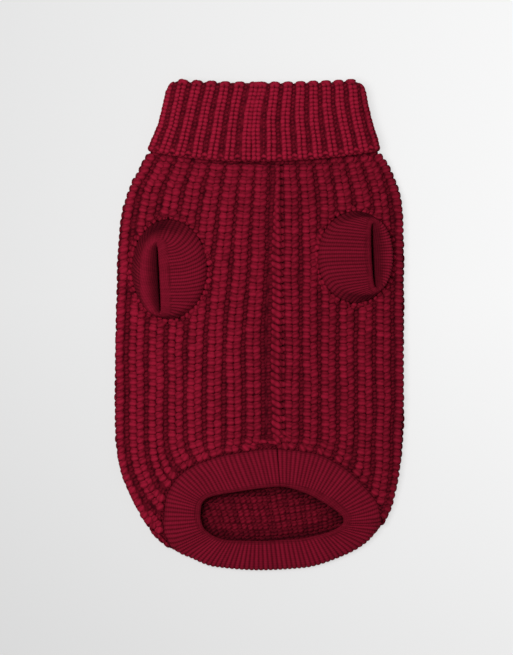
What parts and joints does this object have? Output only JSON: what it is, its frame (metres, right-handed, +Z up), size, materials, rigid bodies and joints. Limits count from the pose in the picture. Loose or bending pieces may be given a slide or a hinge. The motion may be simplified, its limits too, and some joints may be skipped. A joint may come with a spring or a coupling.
{
  "type": "dog sweater",
  "caption": "Chunky rib-knit dog sweater with a turned-down collar, a fine-rib hem band and short leg cuffs, laid flat with its belly side up.",
  "frame": {"origin": "middle of the bounding box's underside, on the surface that the sweater lies on", "axes": "+Y towards the collar, +Z up out of the belly side, +X to the right when the belly side is seen with the collar at the top"},
  "size_m": [0.2097, 0.3564, 0.0173],
  "materials": {
    "body_knit": "matte burgundy red chunky rib knit",
    "collar_knit": "matte burgundy red rib knit",
    "band_knit": "matte burgundy red fine rib knit"
  },
  "bodies": {
    "root": {"body": "body_knit", "collar": "collar_knit", "hem_band": "band_knit", "cuff_left": "band_knit", "cuff_right": "band_knit"}
  },
  "joints": []
}
